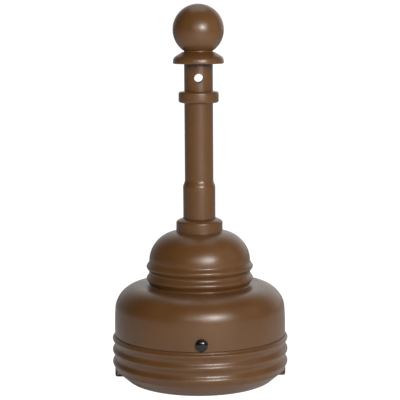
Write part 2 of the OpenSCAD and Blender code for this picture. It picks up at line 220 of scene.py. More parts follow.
def brownPlastic(name, look, rubs=(), soot=None, paintedShadow=None):
    # Moulded polyethylene: cloudy colour, orange peel, fine scuffs, and paler rub marks on what
    # stands out. Each rub is (radius from, radius to, height from, height to) in millimetres.
    # Soot is (radius, height): what lies nearer the axis and lower than that is black with it.
    # The last argument is a painted shadow, (radius, height from, height to): it darkens what lies
    # nearer the axis, more and more from the one height to the other, and ends just over it
    material, tree, shader, coords = newMaterial(name)
    cloud = remap(tree, noise(tree, coords, 9, 3), 0.3, 0.7, 0, 1)
    colour = mixColour(tree, cloud, look["darker"], look["paler"])
    fleck = remap(tree, noise(tree, coords, 260, 2), 0.40, 0.60, 0, 0.5)
    colour = mixColour(tree, fleck, colour, look["colour"])
    streaks = noise(tree, mapped(tree, coords, (1, 1, 9)), 42, 4, 0.65)
    scuffs = remap(tree, streaks, 0.60, 0.78, 0, 1)
    distance = axisDistance(tree, coords)
    split = tree.nodes.new("ShaderNodeSeparateXYZ")
    tree.links.new(coords, split.inputs["Vector"])
    height = split.outputs["Z"]
    for radiusFrom, radiusTo, heightFrom, heightTo in rubs:
        far = remap(tree, distance, radiusFrom * mm, radiusTo * mm, 0, 1)
        above = remap(tree, height, heightFrom * mm, (heightFrom + 2) * mm, 0, 1)
        below = remap(tree, height, (heightTo - 2) * mm, heightTo * mm, 1, 0)
        mark = arithmetic(tree, "MULTIPLY", far, arithmetic(tree, "MULTIPLY", above, below))
        mark = arithmetic(tree, "MULTIPLY", mark, arithmetic(tree, "ADD", scuffs, 0.12))
        colour = mixColour(tree, arithmetic(tree, "MULTIPLY", mark, 0.5), colour, look["rubbed"])
    if soot:
        inside = remap(tree, distance, soot[0] * mm, (soot[0] + 0.4) * mm, 1, 0)
        lower = remap(tree, height, soot[1] * mm, (soot[1] + 5) * mm, 1, 0)
        patchy = remap(tree, noise(tree, coords, 80, 3), 0.3, 0.7, 0.86, 1)
        inside = arithmetic(tree, "MULTIPLY", inside, arithmetic(tree, "MULTIPLY", lower, patchy))
        colour = mixColour(tree, inside, colour, look["soot"])
    # painted shadow: the soot colour laid on as shade under an overhang, darkest just under its top height
    if paintedShadow:
        inside = remap(tree, distance, paintedShadow[0] * mm, (paintedShadow[0] + 2) * mm, 1, 0)
        rising = remap(tree, height, paintedShadow[1] * mm, paintedShadow[2] * mm, 0, 0.72)
        under = remap(tree, height, (paintedShadow[2] + 2) * mm, (paintedShadow[2] + 4) * mm, 1, 0)
        inside = arithmetic(tree, "MULTIPLY", inside, arithmetic(tree, "MULTIPLY", rising, under))
        colour = mixColour(tree, inside, colour, look["soot"])
    facing = tree.nodes.new("ShaderNodeNewGeometry")
    up = tree.nodes.new("ShaderNodeSeparateXYZ")
    tree.links.new(facing.outputs["Normal"], up.inputs["Vector"])
    level = remap(tree, up.outputs["Z"], 0.93, 1.0, 0, 1)
    settled = remap(tree, noise(tree, coords, 60, 4), 0.4, 0.75, 0.0, 0.12)
    dust = arithmetic(tree, "MULTIPLY", level, settled)
    colour = mixColour(tree, dust, colour, look["dust"])
    tree.links.new(colour, shader.inputs["Base Color"])
    rough = remap(tree, noise(tree, coords, 30, 3), 0.3, 0.7, *look["roughness"])
    rough = arithmetic(tree, "ADD", rough, arithmetic(tree, "MULTIPLY", scuffs, 0.08))
    rough = arithmetic(tree, "ADD", rough, arithmetic(tree, "MULTIPLY", dust, 0.4))
    tree.links.new(rough, shader.inputs["Roughness"])
    waves = bump(tree, noise(tree, coords, 14, 1), 0.12, 0.0015)
    peel = bump(tree, noise(tree, coords, 650, 2), 0.10, 0.00025, waves)
    tree.links.new(peel, shader.inputs["Normal"])
    shader.inputs["Specular IOR Level"].default_value = look["specular"]
    return material


def blackPhenolic():
    # Polished black moulding with a faint swirl and hairline scratches
    material, tree, shader, coords = newMaterial("black_phenolic")
    swirl = remap(tree, noise(tree, coords, 70, 4, 0.6), 0.35, 0.7, 0, 1)
    colour = mixColour(tree, swirl, (0.005, 0.005, 0.006), (0.009, 0.009, 0.010))
    tree.links.new(colour, shader.inputs["Base Color"])
    fine = noise(tree, mapped(tree, coords, (40, 3, 3), (0.2, 0.5, 0.9)), 60, 3)
    tree.links.new(remap(tree, fine, 0.3, 0.7, 0.13, 0.22), shader.inputs["Roughness"])
    tree.links.new(bump(tree, noise(tree, coords, 500, 1), 0.05, 0.0001), shader.inputs["Normal"])
    return material


def galvanised(name, spangle):
    # Hot-dip zinc: crystals of slightly different brightness, with thin borders and some white bloom
    material, tree, shader, coords = newMaterial(name)
    crystals = tree.nodes.new("ShaderNodeTexVoronoi")
    crystals.inputs["Scale"].default_value = spangle
    wobble = tree.nodes.new("ShaderNodeVectorMath")
    wobble.operation = "MULTIPLY_ADD"
    spread = tree.nodes.new("ShaderNodeTexNoise")
    spread.inputs["Scale"].default_value = spangle * 1.6
    tree.links.new(coords, spread.inputs["Vector"])
    tree.links.new(spread.outputs["Color"], wobble.inputs[0])
    wobble.inputs[1].default_value = (0.006, 0.006, 0.006)
    tree.links.new(coords, wobble.inputs[2])
    tree.links.new(wobble.outputs["Vector"], crystals.inputs["Vector"])
    tone = tree.nodes.new("ShaderNodeSeparateColor")
    tree.links.new(crystals.outputs["Color"], tone.inputs["Color"])
    colour = mixColour(tree, tone.outputs["Red"], (0.43, 0.46, 0.48), (0.62, 0.64, 0.66))
    bloom = remap(tree, noise(tree, coords, 22, 5, 0.6), 0.56, 0.75, 0, 0.55)
    colour = mixColour(tree, bloom, colour, (0.66, 0.67, 0.67))
    tree.links.new(colour, shader.inputs["Base Color"])
    rough = remap(tree, tone.outputs["Green"], 0, 1, 0.30, 0.46)
    rough = arithmetic(tree, "ADD", rough, arithmetic(tree, "MULTIPLY", bloom, 0.3))
    tree.links.new(rough, shader.inputs["Roughness"])
    dents = bump(tree, noise(tree, coords, 26, 2), 0.25, 0.0012)
    tree.links.new(bump(tree, crystals.outputs["Distance"], 0.06, 0.0003, dents), shader.inputs["Normal"])
    shader.inputs["Metallic"].default_value = 1.0
    return material


def turnedMetal(name, colour, darker, roughness, grain):
    # Turned or plated metal: fine rings across its own axis, which lies along Y, and soft stains
    material, tree, shader, coords = newMaterial(name)
    rings = noise(tree, mapped(tree, coords, (1, grain, 1)), 30, 3, 0.6)
    stain = remap(tree, noise(tree, coords, 120, 3), 0.35, 0.7, 0, 1)
    tree.links.new(mixColour(tree, stain, colour, darker), shader.inputs["Base Color"])
    rough = remap(tree, rings, 0.3, 0.7, roughness - 0.06, roughness + 0.08)
    tree.links.new(rough, shader.inputs["Roughness"])
    tree.links.new(bump(tree, rings, 0.15, 0.0002), shader.inputs["Normal"])
    shader.inputs["Metallic"].default_value = 1.0
    return material


def gripPlastic():
    # Matt black moulded grip with a fine leather-like texture
    material, tree, shader, coords = newMaterial("grip_plastic")
    worn = remap(tree, noise(tree, coords, 90, 4), 0.4, 0.7, 0, 1)
    colour = mixColour(tree, worn, (0.016, 0.016, 0.018), (0.034, 0.033, 0.034))
    tree.links.new(colour, shader.inputs["Base Color"])
    tree.links.new(remap(tree, worn, 0, 1, 0.48, 0.62), shader.inputs["Roughness"])
    tree.links.new(bump(tree, noise(tree, coords, 1400, 2), 0.3, 0.0003), shader.inputs["Normal"])
    return material


def paleFloor(s):
    # White studio floor: an even white to the camera, a softly glowing pale matt one to the bin
    material, tree, shader, coords = newMaterial("pale_floor")
    mottle = remap(tree, noise(tree, coords, 3, 2), 0.3, 0.7, 0, 1)
    colour = mixColour(tree, mottle, (0.78, 0.78, 0.78), (0.82, 0.82, 0.82))
    tree.links.new(colour, shader.inputs["Base Color"])
    shader.inputs["Roughness"].default_value = 0.85
    shader.inputs["Emission Color"].default_value = (1, 1, 1, 1)
    shader.inputs["Emission Strength"].default_value = s["floor glow"]
    glow = tree.nodes.new("ShaderNodeEmission")
    glow.inputs["Strength"].default_value = s["floor shown"]
    mix = tree.nodes.new("ShaderNodeMixShader")
    seen = tree.nodes.new("ShaderNodeLightPath").outputs["Is Camera Ray"]
    tree.links.new(arithmetic(tree, "MULTIPLY", seen, 0.85), mix.inputs["Fac"])
    tree.links.new(shader.outputs["BSDF"], mix.inputs[1])
    tree.links.new(glow.outputs["Emission"], mix.inputs[2])
    tree.links.new(mix.outputs["Shader"], tree.nodes["Material Output"].inputs["Surface"])
    return material


def makeWorld(s):
    # Room light by direction: all round + right * max(x, 0), and behind * h * h * (3 - 2 * h) where
    # h goes from 0 at y = 0.35 to 1 at y = 0.85. The light behind falls to its left share
    # from x = 0.1 to x = -0.6
    world = bpy.data.worlds.new("studio")
    world.use_nodes = True
    tree = world.node_tree
    background = tree.nodes["Background"]
    split = tree.nodes.new("ShaderNodeSeparateXYZ")
    tree.links.new(tree.nodes.new("ShaderNodeTexCoord").outputs["Generated"], split.inputs["Vector"])
    back = remap(tree, split.outputs["Y"], 0.35, 0.85, 0, s["behind"], "SMOOTHSTEP")
    leftward = remap(tree, split.outputs["X"], -0.6, 0.1, s["left share"], 1)
    back = arithmetic(tree, "MULTIPLY", back, leftward)
    right = remap(tree, split.outputs["X"], 0, 1, s["all round"], s["all round"] + s["right"])
    room = arithmetic(tree, "ADD", back, right)
    seen = tree.nodes.new("ShaderNodeLightPath").outputs["Is Camera Ray"]
    strength = tree.nodes.new("ShaderNodeMix")
    tree.links.new(seen, strength.inputs["Factor"])
    tree.links.new(room, strength.inputs["A"])
    strength.inputs["B"].default_value = s["shown"]
    tree.links.new(strength.outputs["Result"], background.inputs["Strength"])
    background.inputs["Color"].default_value = (1, 1, 1, 1)
    bpy.context.scene.world = world
    bpy.context.scene.view_settings.view_transform = "Standard"


makeWorld(worldLight)


def arcLine(centre, across, up, fromDeg, toDeg, count=16):
    # Part of an ellipse: centre + (across cos t, up sin t) for t from one angle to the other
    t = np.radians(np.linspace(fromDeg, toDeg, count + 1))
    return np.stack([centre[0] + across * np.cos(t), centre[1] + up * np.sin(t)], 1)


def ribWave(radius, out, low, crest, high, power=1.0, count=14):
    # A rib: radius + out * ((1 + cos(pi s)) / 2) ** power, with s from -1 at its foot to 1 at its top
    s = np.linspace(-1, 1, 2 * count + 1)
    z = crest + np.where(s < 0, s * (crest - low), s * (high - crest))
    return np.stack([radius + out * ((1 + np.cos(pi * s)) / 2) ** power, z], 1)


def roundedLine(corners, count=5):
    # Straight runs with eased corners: each corner is (radius, height, cut). From cut before the
    # corner to cut after it runs the curve (1-t)^2 A + 2t(1-t) P + t^2 B
    points = np.array([c[:2] for c in corners], float)
    runs = [points[:1]]
    t = np.linspace(0, 1, count + 1)[:, None]
    for before, corner, after, (_, _, cut) in zip(points, points[1:], points[2:], corners[1:]):
        start = corner + (before - corner) * cut / max(np.hypot(*(before - corner)), 1e-6)
        end = corner + (after - corner) * cut / max(np.hypot(*(after - corner)), 1e-6)
        runs.append((1 - t) ** 2 * start + 2 * t * (1 - t) * corner + t ** 2 * end if cut else corner[None])
    runs.append(points[-1:])
    return np.concatenate(runs)


def turnAngles(steps, ridges, radius):
    # Angles round the axis: even steps, with nine more across each ridge so that it is sharp
    extra = [radians(at) + np.linspace(-2, 2, 9) * width / radius for at, height, width in ridges]
    angles = np.concatenate([np.arange(steps) * 2 * pi / steps, *extra]) % (2 * pi)
    return np.unique(np.round(angles, 6))


def revolve(profile, steps=224, ridges=(), flutes=None):
    # Each profile point (r, z) goes round the axis: (r cos u, r sin u, z). A ridge adds
    # height * exp(-(arc / width)^2) to r on the rows that face outwards, though never past the
    # widest point, where it is rubbed off. Flutes take depth * (1 - cos(count u)) / 2 off r
    # between two heights
    angles = turnAngles(steps, ridges, profile[:, 0].max())
    r = np.repeat(profile[:, :1], len(angles), 1)
    step = np.gradient(profile[:, 1])[:, None]
    for at, height, width in ridges:
        arc = r * np.angle(np.exp(1j * (angles - radians(at))))[None]
        r = r + np.where(step > 1e-6, height, 0) * np.exp(-(arc / width) ** 2)
    z = np.repeat(profile[:, 1:], len(angles), 1)
    if flutes:
        count, depth, low, high = flutes
        inside = (z > low) & (z < high)
        r = r - inside * depth * (1 - np.cos(count * angles))[None] / 2
    r = np.minimum(r, profile[:, 0].max())
    return np.stack([r * np.cos(angles), r * np.sin(angles), z], 2)


def gridFaces(rows, columns, closeRows):
    # Quads between neighbouring grid points; the columns always join up round the piece
    i = np.arange(rows if closeRows else rows - 1)[:, None]
    j = np.arange(columns)[None]
    nextI, nextJ = (i + 1) % rows, (j + 1) % columns
    corners = [i * columns + j, i * columns + nextJ, nextI * columns + nextJ, nextI * columns + j]
    return np.stack(corners, 2).reshape(-1, 4)


def gridMesh(name, grid, closeRows=False):
    # Puts a grid of points, in millimetres, into a mesh in metres; points that meet become one
    mesh = bpy.data.meshes.new(name)
    faces = gridFaces(*grid.shape[:2], closeRows).tolist()
    mesh.from_pydata((grid.reshape(-1, 3) * mm).tolist(), [], faces)
    tidy = bmesh.new()
    tidy.from_mesh(mesh)
    bmesh.ops.remove_doubles(tidy, verts=tidy.verts, dist=2e-6)
    tidy.to_mesh(mesh)
    tidy.free()
    return mesh


def finishPiece(name, mesh, material, body, sharp=38):
    # A finished piece: smooth, with sharp edges past an angle, riding on its body
    mesh.polygons.foreach_set("use_smooth", np.ones(len(mesh.polygons), bool))
    mesh.set_sharp_from_angle(angle=radians(sharp))
    mesh.materials.clear()
    mesh.materials.append(material)
    piece = bpy.data.objects.new(name, mesh)
    bpy.context.scene.collection.objects.link(piece)
    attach(piece, body)
    return piece


def dress(node, material):
    # Gives a CAD node that keeps its own shape a material in place of its plain one
    nodes[node].data.materials.clear()
    nodes[node].data.materials.append(material)


def partingRidges(s):
    # Ridges of the mould's parting line, on the right and on the left
    return [(at, s["partingHeight"], s["partingWidth"]) for at in (0, 180)]


def cutAway(mesh, cutters, operation="DIFFERENCE"):
    # Takes each cutter's volume off the mesh, and returns the mesh that is left
    work = bpy.data.objects.new("work", mesh)
    bpy.context.scene.collection.objects.link(work)
    tools = []
    for cutter in cutters:
        tool = bpy.data.objects.new("tool", cutter)
        bpy.context.scene.collection.objects.link(tool)
        modifier = work.modifiers.new("cut", "BOOLEAN")
        modifier.operation = operation
        modifier.object = tool
        modifier.solver = "EXACT"
        tools.append(tool)
    bpy.context.view_layer.update()
    result = bpy.data.meshes.new_from_object(work.evaluated_get(bpy.context.evaluated_depsgraph_get()))
    for obj in [work, *tools]:
        bpy.data.objects.remove(obj)
    return result


def boxSize(node):
    # Lowest and highest corner of a CAD node, in millimetres
    low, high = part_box(node)
    return np.array(low) / mm, np.array(high) / mm


def alongFront(grid, height):
    # Lays a shape that stands on Z along -Y instead, at a height: (x, y, z) -> (x, -z, y + height)
    return np.stack([grid[..., 0], -grid[..., 2], grid[..., 1] + height], -1)


def bar(radius, fromZ, toZ, steps=96):
    # A plain closed round bar along Z
    line = np.array([(0, fromZ), (radius, fromZ), (radius, toZ), (0, toZ)], float)
    return revolve(line, steps)


baseLow, baseHigh = boxSize("base_pan")
baseSizes = {
    "seam": baseHigh[2] - 38,     # height of the seam under the cover
    "ribOut": 5.7,
    "ribPower": 1.3,
    "ribPitch": 32.4,
    "topRibDrop": 9.4,            # from the seam down to the crest of the top rib
    "bowlHeight": 33.0,
    "wall": 5.0,
    "footRadius": 188.0,
    "footWidth": 17.0,
    "floorRise": 8.0,
    "spigotRadius": 223.0,
    "rebate": 1.6,                # the outer edge lies this much under the seam
    # inside of the ring that keeps the pail in place
    "nestRadius": boxSize("pail_bottom")[1][0] + 2.52,
    "earInset": 0.5,              # the ear ends this far inside the plain side
    "earRise": 7.5,               # from the ground up to the ear
    "earRound": 6.0,
    "earHalf": 18.0,              # half its thickness
    "earHoleRadius": 4.2,
    "earHoleInset": 7.6,          # from the ear's edges to the middle of its hole
    "earEase": 1.2,
    "studHeight": 144.0,
    "bossRadius": 11.6,
    "bossFrom": 221.0,            # from the axis, inside the spigot's wall
    "bossEnd": 1.8,               # the boss stands back this much from the insert's end
    "boreRadius": 6.62,
    "partingHeight": 0.3,
    "partingWidth": 0.9,
}
baseSizes["sideRadius"] = (baseHigh[0] - baseLow[0]) / 2 - baseSizes["ribOut"]


def baseWall(s, inset):
    # The three ribs from the bowl up to the seam, moved in by the inset
    half = s["ribPitch"] / 2
    crests = s["seam"] - s["topRibDrop"] - s["ribPitch"] * np.array([2, 1, 0])
    lows = np.array([s["bowlHeight"], crests[1] - half, crests[2] - half])
    highs = np.array([crests[0] + half, crests[1] + half, s["seam"] - s["rebate"] - 0.3])
    return np.concatenate([ribWave(s["sideRadius"] - inset, s["ribOut"], *at, s["ribPower"])
                           for at in zip(lows, crests, highs)])


def baseProfile(s):
    # From the axis out under the floor, up the wall and spigot, down inside and back to the axis
    foot, rise, wall = s["footRadius"], s["floorRise"], s["wall"]
    side, seam, spigotOut = s["sideRadius"], s["seam"], s["spigotRadius"]
    spigotTop = seam + 38
    spigotIn, floorTop = spigotOut - wall, rise + wall
    under = roundedLine([(0, rise, 0), (foot - s["footWidth"] - 5, rise, 1.5),
                         (foot - s["footWidth"], 0, 1.5), (foot, 0, 2), (foot + 7, 3, 3),
                         (side - 2, s["bowlHeight"] - 2, 0)])
    spigot = roundedLine([(side - 0.3, seam - s["rebate"], 0), (side - 2.6, seam - s["rebate"], 0.3),
                          (side - 2.6, seam, 0.3), (spigotOut, seam, 0.8), (spigotOut, spigotTop, 1.6),
                          (spigotIn, spigotTop, 1.2), (spigotIn, seam - wall, 0)])
    inner = baseWall(s, wall)[::-1]
    floor = roundedLine([(foot + 11.5, floorTop + 0.3, 0), (foot + 4, floorTop, 2), (170, floorTop, 0)])
    ring = s["nestRadius"]
    nest = roundedLine([(ring + 5, floorTop, 0.8), (ring + 4, floorTop + 7, 1),
                        (ring + 1.5, floorTop + 7, 1), (ring, floorTop, 0.5), (0, floorTop, 0)])
    return np.concatenate([under, baseWall(s, 0), spigot, inner, floor, nest])


def tieEar(s):
    # Upright ear under the lowest rib: its outline in X and Z, thick along Y, with eased edges
    reach, rise, ease = s["sideRadius"] - s["earInset"], s["earRise"], s["earRound"]
    turn = np.radians(np.linspace(-90, 0, 7))
    corner = np.stack([reach - ease + ease * np.cos(turn), rise + ease + ease * np.sin(turn)], 1)
    outline = np.concatenate([[(198, 9), (204, rise)], corner,
                              [(reach, s["bowlHeight"] + 2), (reach - 3, s["bowlHeight"] + 4)]])
    count = len(outline)
    points = np.concatenate([np.column_stack([outline[:, 0], np.full(count, y), outline[:, 1]])
                             for y in (-s["earHalf"], s["earHalf"])])
    sides = [(i, (i + 1) % count, (i + 1) % count + count, i + count) for i in range(count)]
    ends = [tuple(range(count))[::-1], tuple(range(count, 2 * count))]
    mesh = bpy.data.meshes.new("ear")
    mesh.from_pydata((points * mm).tolist(), [], [*ends, *sides])
    shape = bmesh.new()
    shape.from_mesh(mesh)
    bmesh.ops.recalc_face_normals(shape, faces=shape.faces)
    edges = [e for e in shape.edges if e.calc_face_angle(0) > radians(50)]
    bmesh.ops.bevel(shape, geom=edges, offset=s["earEase"] * mm, segments=3, affect="EDGES", profile=0.5)
    shape.to_mesh(mesh)
    shape.free()
    pin = alongFront(bar(s["earHoleRadius"], -20, 20, 48), rise + s["earHoleInset"])
    return cutAway(mesh, [gridMesh("hole", pin + np.array([reach - s["earHoleInset"], 0, 0]))])


def makeBase(s):
    # The revolved pan with boss and ears joined on, and the insert's bore cut through
    pan = gridMesh("pan", revolve(baseProfile(s), 224, partingRidges(s)))
    ear = tieEar(s)
    otherEar = ear.copy()
    otherEar.transform(Matrix.Rotation(pi, 4, "Z"))
    bossEnd = -boxSize("threaded_insert")[1][1] + s["bossEnd"]
    bossLine = roundedLine([(0, bossEnd, 0), (s["bossRadius"], bossEnd, 1),
                            (s["bossRadius"], s["bossFrom"], 0), (0, s["bossFrom"], 0)])
    boss = gridMesh("boss", alongFront(revolve(bossLine, 96), s["studHeight"]))
    bore = gridMesh("bore", alongFront(bar(s["boreRadius"], 200, 226), s["studHeight"]))
    pan = cutAway(pan, [boss, ear, otherEar], "UNION")
    pan = cutAway(pan, [bore])
    rubs = [(s["sideRadius"] + 3.5, s["sideRadius"] + 5.7, 20, 125), (180, 190, -2, 3)]
    brown = brownPlastic("brown_base", brownPlasticLook, rubs)
    piece = finishPiece("base_shell", pan, brown, "base")
    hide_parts("base_pan")
    print("base made:", len(pan.polygons), "faces")


coverLow, coverHigh = boxSize("cover")
coverSizes = {
    "rim": coverLow[2],
    "radius": (coverHigh[0] - coverLow[0]) / 2,
    "top": coverHigh[2],
    "wall": 5.0,
    "drumTop": 256.0,
    "rimBand": 19.4,             # plain band above the rim
    "grooveHeight": 1.5,         # drip groove under the outside of the rim
    "grooveDepth": 3.0,
    "lean": 4.0,                 # degrees that the side leans in at the shoulder
    "shoulder": 66.0,
    "domeRadius": 134.5,
    "domeTop": 399.2,
    "ribOut": 7.6,
    "ribPitch": 31.6,
    "crownIn": 55.5,
    "crownHeight": 79.0,
    "collarRadius": 61.4,
    "collarRound": 7.0,
    "boreRadius": 42.75,         # of the collar, round the pole's sleeve
    "footBore": 36.35,           # of the ledge, round the pole's foot
    "slotHalf": 4.6,             # half the width of the stud's slot
    "slotFrom": 120.0,
    "studHeight": 144.0,
    "partingHeight": 0.3,
    "partingWidth": 0.9,
}


def coverOutline(s, inset, crownEnd):
    # From the rim up: leaning side, shoulder, flat top, two dome ribs and the crown
    low = s["rim"] + s["rimBand"]
    leanRadius = (s["drumTop"] - s["shoulder"] - low) / sin(radians(s["lean"])) + s["shoulder"]
    across = leanRadius * (1 - cos(radians(s["lean"]))) + s["shoulder"] * cos(radians(s["lean"]))
    shoulderAt = (s["radius"] - across, s["drumTop"] - s["shoulder"])
    ribFoot = s["drumTop"] + 2.5
    ribs = [ribWave(s["domeRadius"] - inset, s["ribOut"], ribFoot + s["ribPitch"] * k,
                    ribFoot + s["ribPitch"] * (k + 0.5), ribFoot + s["ribPitch"] * (k + 1)) for k in (0, 1)]
    return np.concatenate([
        arcLine((s["radius"] - leanRadius, low), leanRadius - inset, leanRadius - inset, 0, s["lean"], 6),
        arcLine(shoulderAt, s["shoulder"] - inset, s["shoulder"] - inset, s["lean"] + 3, 90, 26),
        roundedLine([(s["domeRadius"] + 9 - inset, s["drumTop"] - inset, 0),
                     (s["domeRadius"] + 1.0 - inset, s["drumTop"] - inset, 1.6),
                     (s["domeRadius"] - inset, ribFoot - 0.2 - inset * 0.4, 0)], 4),
        *ribs,
        arcLine((s["crownIn"], s["domeTop"] - s["crownHeight"]), s["domeRadius"] - s["crownIn"] - inset,
                s["crownHeight"] - inset, 4, crownEnd, 26)])


def coverProfile(s):
    # From the rim up the outside to the collar, and down the inside, one wall further in
    wall, top, dome = s["wall"], s["top"], s["domeTop"]
    collar, bore = s["collarRadius"], s["boreRadius"]
    crownEnd = np.degrees(np.arccos((collar + 2.5 - s["crownIn"]) / (s["domeRadius"] - s["crownIn"])))
    rim, radius, grooveTop = s["rim"], s["radius"], s["rim"] + s["grooveHeight"]
    lip, crown = radius - s["grooveDepth"], s["crownIn"]
    rimEdge = roundedLine([(radius - wall, rim, 0), (lip, rim, 0.2), (lip, grooveTop, 0.2),
                           (radius, grooveTop, 0.5), (radius, rim + 6, 0)])
    collarSide = roundedLine([(collar + 2.5, dome - 0.2, 0), (collar, dome + 0.2, 1.6),
                              (collar, top - 12, 0)])
    collarTop = arcLine((collar - s["collarRound"], top - 12), s["collarRound"], s["collarRound"], 0, 60, 8)
    mouth = arcLine((bore + 2.5, top - 2.5), 2.5, 2.5, 90, 180, 6)
    ledge = roundedLine([(bore, dome, 0), (s["footBore"], dome, 0), (s["footBore"], dome - wall, 0),
                         (bore + wall, dome - wall, 1), (bore + wall, top - 2 * wall, 2),
                         (crown - 4, top - 2 * wall, 2), (crown, top - 3 * wall, 0)])
    return np.concatenate([rimEdge, coverOutline(s, 0, crownEnd), collarSide, collarTop, mouth, ledge,
                           coverOutline(s, wall, 89)[::-1], [(radius - wall, rim)]])


def block(low, high):
    # A plain box between two corners, in millimetres
    low, high = np.array(low, float), np.array(high, float)
    mesh = bpy.data.meshes.new("block")
    shape = bmesh.new()
    bmesh.ops.create_cube(shape, size=1)
    size, middle = high - low, (high + low) / 2
    shape.transform(Matrix.Translation(Vector(middle * mm)) @ Matrix.Diagonal((*(size * mm), 1)))
    shape.to_mesh(mesh)
    shape.free()
    return mesh


def makeCover(s):
    # The revolved shell with a slot, open below and round at its end, that drops over the stud
    shell = gridMesh("shell", revolve(coverProfile(s), 224, partingRidges(s)))
    slot = block((-s["slotHalf"], -236, s["slotFrom"]), (s["slotHalf"], -214, s["studHeight"]))
    slotEnd = gridMesh("end", alongFront(bar(s["slotHalf"], 214, 236, 64), s["studHeight"]))
    shell = cutAway(shell, [slot, slotEnd])
    ribFace = s["domeRadius"] + s["ribOut"]
    rubs = [(ribFace - 2.5, ribFace + 2, s["drumTop"] + 4, s["drumTop"] + 66),
            (s["radius"] - 1, s["radius"] + 1, 120, 130)]
    brown = brownPlastic("brown_cover", brownPlasticLook, rubs)
    piece = finishPiece("cover_shell", shell, brown, "top")
    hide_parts("cover")
    print("cover made:", len(shell.polygons), "faces")


poleLow, poleHigh = boxSize("pole")
poleSizes = {
    "foot": poleLow[2],
    "ringTop": poleHigh[2],
    "radius": 37.6,
    "wall": 4.0,
    "sleeveRadius": 42.6,
    "sleeveTop": 518.0,
    "flare": 19.5,
    "ringRadius": (poleHigh[0] - poleLow[0]) / 2,
    "ringHeight": 30.5,
    "ringRound": 6.0,
    "socketDepth": 26.0,
    "domeTop": 399.2,
    "partingHeight": 0.22,
    "partingWidth": 0.7,
}


def poleProfile(s):
    # From the foot up: sleeve, cosine flare, plain neck and socket ring, then down the bore
    r, bore, ring, top = s["radius"], s["radius"] - s["wall"], s["ringRadius"], s["ringTop"]
    flareTop = s["sleeveTop"] + s["flare"]
    ringLow = top - s["ringHeight"]
    t = np.linspace(0, 1, 13)
    flare = np.stack([r + (s["sleeveRadius"] - r) * (1 + np.cos(pi * t)) / 2,
                      s["sleeveTop"] + s["flare"] * t], 1)
    foot = roundedLine([(bore, s["foot"], 0), (r - 1.4, s["foot"], 0.8), (r - 1.4, s["domeTop"], 0),
                        (s["sleeveRadius"], s["domeTop"], 0.8), (s["sleeveRadius"], s["domeTop"] + 40, 0)])
    neck = roundedLine([(r, flareTop + 4, 0), (r, ringLow - 0.2, 2.6), (r + 5, ringLow, 1.0),
                        (ring - 7, ringLow + 0.2, 0)])
    low = arcLine((ring - s["ringRound"], ringLow + 6.8), s["ringRound"], s["ringRound"], -80, 0, 8)
    high = arcLine((ring - s["ringRound"], top - 6.4), s["ringRound"], s["ringRound"], 0, 80, 8)
    socket, socketLow = r + 0.15, top - s["socketDepth"]
    mouth = roundedLine([(ring - 8, top - 0.1, 0), (r + 1.6, top, 1.0), (socket, top - 1.6, 0.6),
                         (socket, socketLow, 0), (bore, socketLow, 0.6), (bore, flareTop, 3),
                         (s["sleeveRadius"] - s["wall"], s["sleeveTop"] - 4, 3),
                         (s["sleeveRadius"] - s["wall"], s["domeTop"] + 8, 2), (bore, s["domeTop"] + 3, 2),
                         (bore, s["foot"], 0)])
    return np.concatenate([foot, flare, neck, low, high, mouth])


headLow, headHigh = boxSize("head")
headSizes = {
    "foot": headLow[2],
    "ballRadius": (headHigh[0] - headLow[0]) / 2,
    "ballTop": headHigh[2],
    "radius": 37.6,
    "wall": 4.0,
    "skirtLow": 843.0,
    "skirtRadius": 66.8,
    "throatRadius": 40.4,
    "throatHeight": 875.0,
    "groove": 2.5,            # depth of the groove round the throat
    "holeRadius": 11.7,
    "holeHeight": 805.9,
    "partingHeight": 0.22,
    "partingWidth": 0.7,
}


def headProfile(s):
    # From the foot up: neck, skirt, groove and ball, then down inside them
    r, bore, skirt, low = s["radius"], s["radius"] - s["wall"], s["skirtRadius"], s["skirtLow"]
    ballAt = (0, s["ballTop"] - s["ballRadius"])
    throat, throatZ = s["throatRadius"], s["throatHeight"]
    start = -np.degrees(np.arccos(throat / s["ballRadius"]))
    throatIn = throat - s["groove"] - s["wall"]
    innerStart = -np.degrees(np.arccos(throatIn / (s["ballRadius"] - s["wall"])))
    neck = roundedLine([(bore, s["foot"], 0), (r, s["foot"], 0.8), (r, low - 0.2, 0.8),
                        (r + 6, low, 1), (skirt - 6, low, 0)])
    edge = arcLine((skirt - 3.5, low + 3.5), 3.5, 3.5, -80, 0, 8)
    slope = arcLine((skirt - 15, low + 7.5), 15, 15, 12, 58, 10)
    grooveIn = throat - s["groove"]
    groove = roundedLine([(throat + 6, throatZ - 3.6, 0), (throat + 2, throatZ - 1.2, 0.8),
                          (grooveIn, throatZ - 0.6, 0.5), (grooveIn, throatZ + 2.4, 0.5),
                          (throat + 0.3, throatZ + 3.5, 0)], 4)
    ball = arcLine(ballAt, s["ballRadius"], s["ballRadius"], start + 1.5, 90, 60)
    hollowRadius = s["ballRadius"] - s["wall"]
    hollow = arcLine(ballAt, hollowRadius, hollowRadius, 90, innerStart, 30)
    inside = roundedLine([(throatIn, throatZ - 3, 0), (skirt - 20, throatZ - 14, 3),
                          (skirt - 6, low + 10, 2), (skirt - 6, low + 4, 1), (bore, low + 4, 1),
                          (bore, s["foot"], 0)])
    return np.concatenate([neck, edge, slope, groove, ball, hollow, inside])


def makePole(s):
    # The revolved tube, rubbed on its ring and sooty in its bore
    tube = gridMesh("tube", revolve(poleProfile(s), 160, partingRidges(s)))
    rubs = [(s["ringRadius"] - 0.8, s["ringRadius"] + 1, s["ringTop"] - 32, s["ringTop"] + 2)]
    brown = brownPlastic("brown_pole", brownPlasticLook, rubs, (s["radius"] - 3, s["ringTop"]))
    piece = finishPiece("pole_tube", tube, brown, "top")
    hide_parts("pole")
    print("pole made:", len(tube.polygons), "faces")


